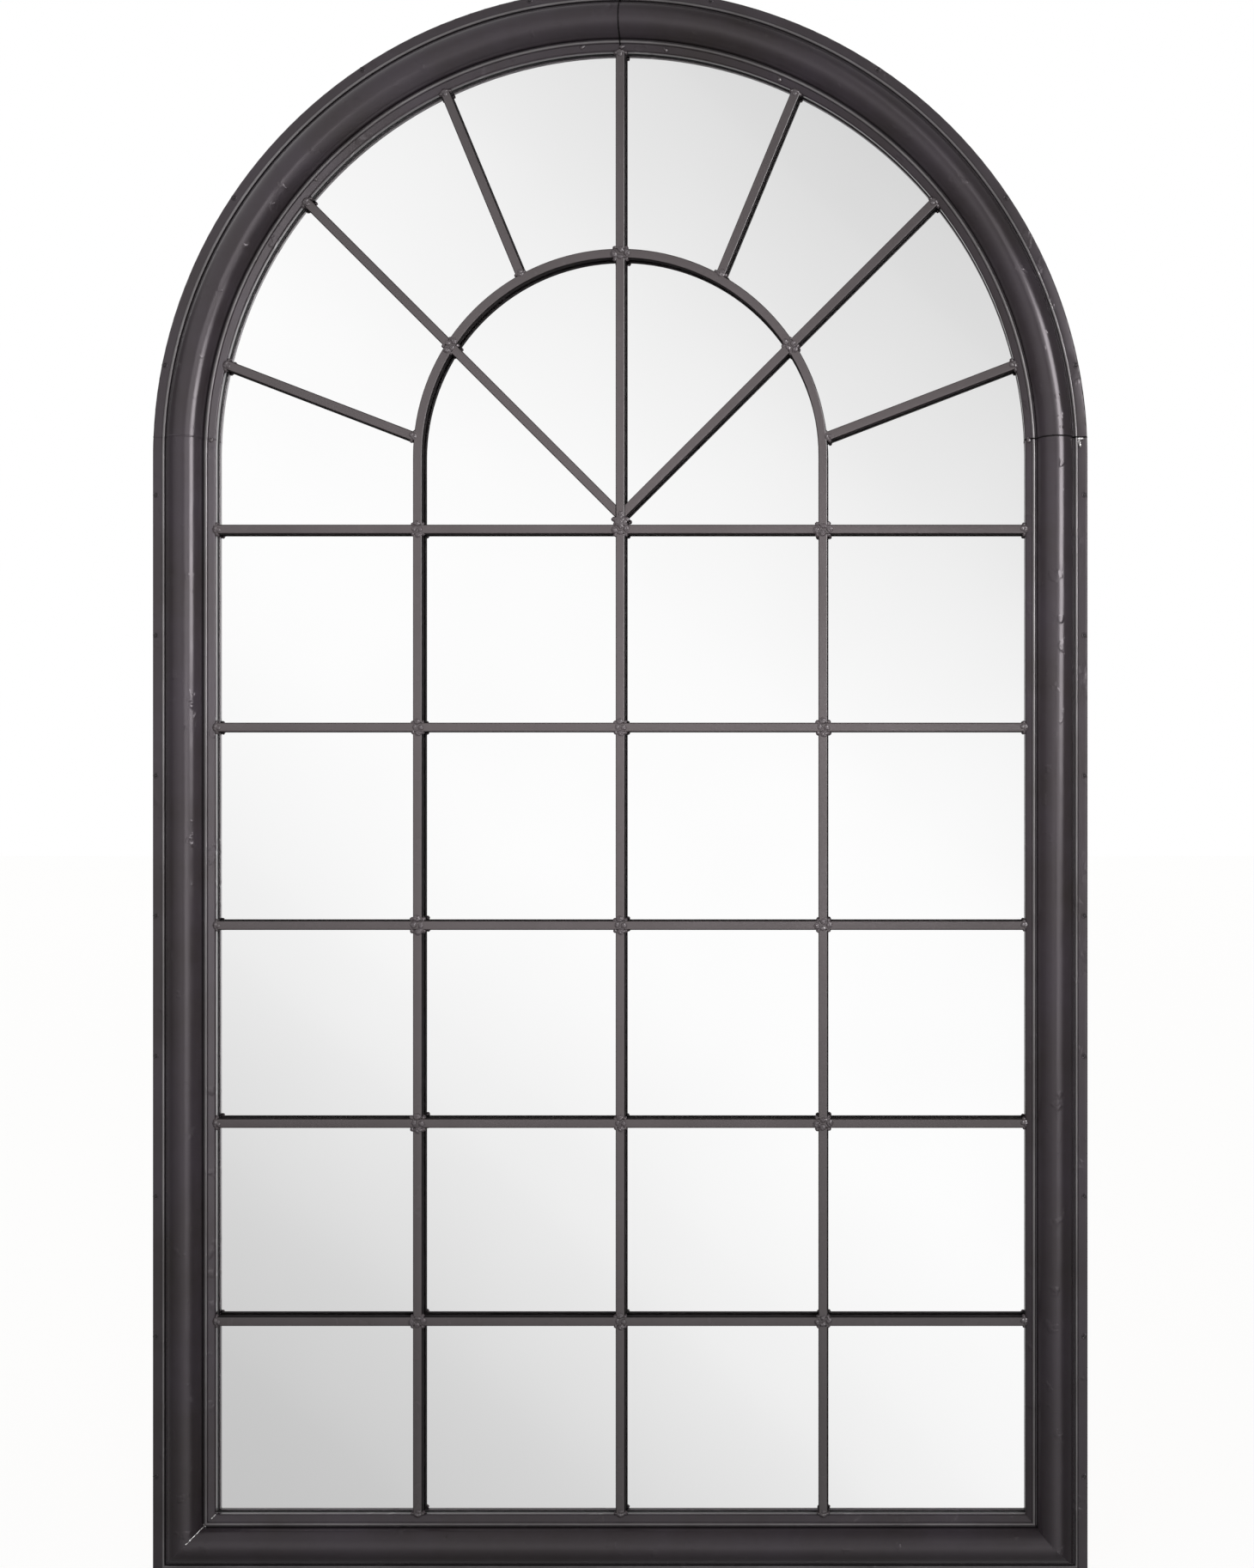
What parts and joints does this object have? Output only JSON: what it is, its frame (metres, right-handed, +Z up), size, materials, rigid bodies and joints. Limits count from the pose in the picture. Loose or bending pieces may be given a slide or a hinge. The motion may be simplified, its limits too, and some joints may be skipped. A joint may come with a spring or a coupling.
{
  "type": "arched window mirror",
  "caption": "Tall arched wall mirror in a dark moulded metal frame, with a grid of glazing bars and a fan head over one mirror sheet, and two rings on the back to hang it.",
  "frame": {"origin": "middle of the bottom edge, half way through the depth", "axes": "+Z up along the height, -Y towards the viewer (the mirror faces -Y), +X to the right as seen from the front"},
  "size_m": [1, 0.056, 1.7],
  "materials": {
    "frame_paint": "satin gunmetal paint",
    "bar_paint": "satin gunmetal paint",
    "pin_steel": "satin, painted over",
    "mirror": "polished silvered glass",
    "foam_tape": "matt foam",
    "timber": "stained dark grey",
    "hardboard": "plain hardboard",
    "zinc_steel": "zinc plated",
    "rubber": "matt"
  },
  "bodies": {
    "frame": {"backing_board": "hardboard", "board_clips": "zinc_steel", "bottom_rail_batten": "timber", "bottom_rail_moulding": "frame_paint", "centre_mullion_1": "bar_paint", "centre_mullion_2": "bar_paint", "centre_mullion_3": "bar_paint", "centre_mullion_4": "bar_paint", "centre_mullion_5": "bar_paint", "centre_spoke_inner": "bar_paint", "centre_spoke_outer": "bar_paint", "clip_screws": "zinc_steel", "crossbar_1": "bar_paint", "crossbar_2": "bar_paint", "crossbar_3": "bar_paint", "crossbar_4": "bar_paint", "crossbar_5": "bar_paint", "fan_arch": "bar_paint", "glazing_tape": "foam_tape", "hanger_screws": "zinc_steel", "joint_plates": "zinc_steel", "left_arch_batten": "timber", "left_arch_moulding": "frame_paint", "left_diagonal_spoke_inner": "bar_paint", "left_diagonal_spoke_outer": "bar_paint", "left_hanger_strap": "zinc_steel", "left_high_spoke": "bar_paint", "left_low_spoke": "bar_paint", "left_mullion_1": "bar_paint", "left_mullion_2": "bar_paint", "left_mullion_3": "bar_paint", "left_mullion_4": "bar_paint", "left_mullion_5": "bar_paint", "left_stile_batten": "timber", "left_stile_moulding": "frame_paint", "mirror_glass": "mirror", "plate_screws": "zinc_steel", "right_arch_batten": "timber", "right_arch_moulding": "frame_paint", "right_diagonal_spoke_inner": "bar_paint", "right_diagonal_spoke_outer": "bar_paint", "right_hanger_strap": "zinc_steel", "right_high_spoke": "bar_paint", "right_low_spoke": "bar_paint", "right_mullion_1": "bar_paint", "right_mullion_2": "bar_paint", "right_mullion_3": "bar_paint", "right_mullion_4": "bar_paint", "right_mullion_5": "bar_paint", "right_stile_batten": "timber", "right_stile_moulding": "frame_paint", "setting_blocks": "rubber", "sheet_pins": "pin_steel", "wall_bumpers": "rubber"},
    "left_ring": {"left_d_ring": "zinc_steel"},
    "right_ring": {"right_d_ring": "zinc_steel"}
  },
  "joints": [
    {"name": "left_ring_swing", "type": "hinge", "parent": "frame", "child": "left_ring", "pos_m": [-0.47135, 0.02355, 1.1], "axis": [1, 0, 0], "range_deg": [0, 180]},
    {"name": "right_ring_swing", "type": "hinge", "parent": "frame", "child": "right_ring", "pos_m": [0.47135, 0.02355, 1.1], "axis": [1, 0, 0], "range_deg": [0, 180]}
  ]
}
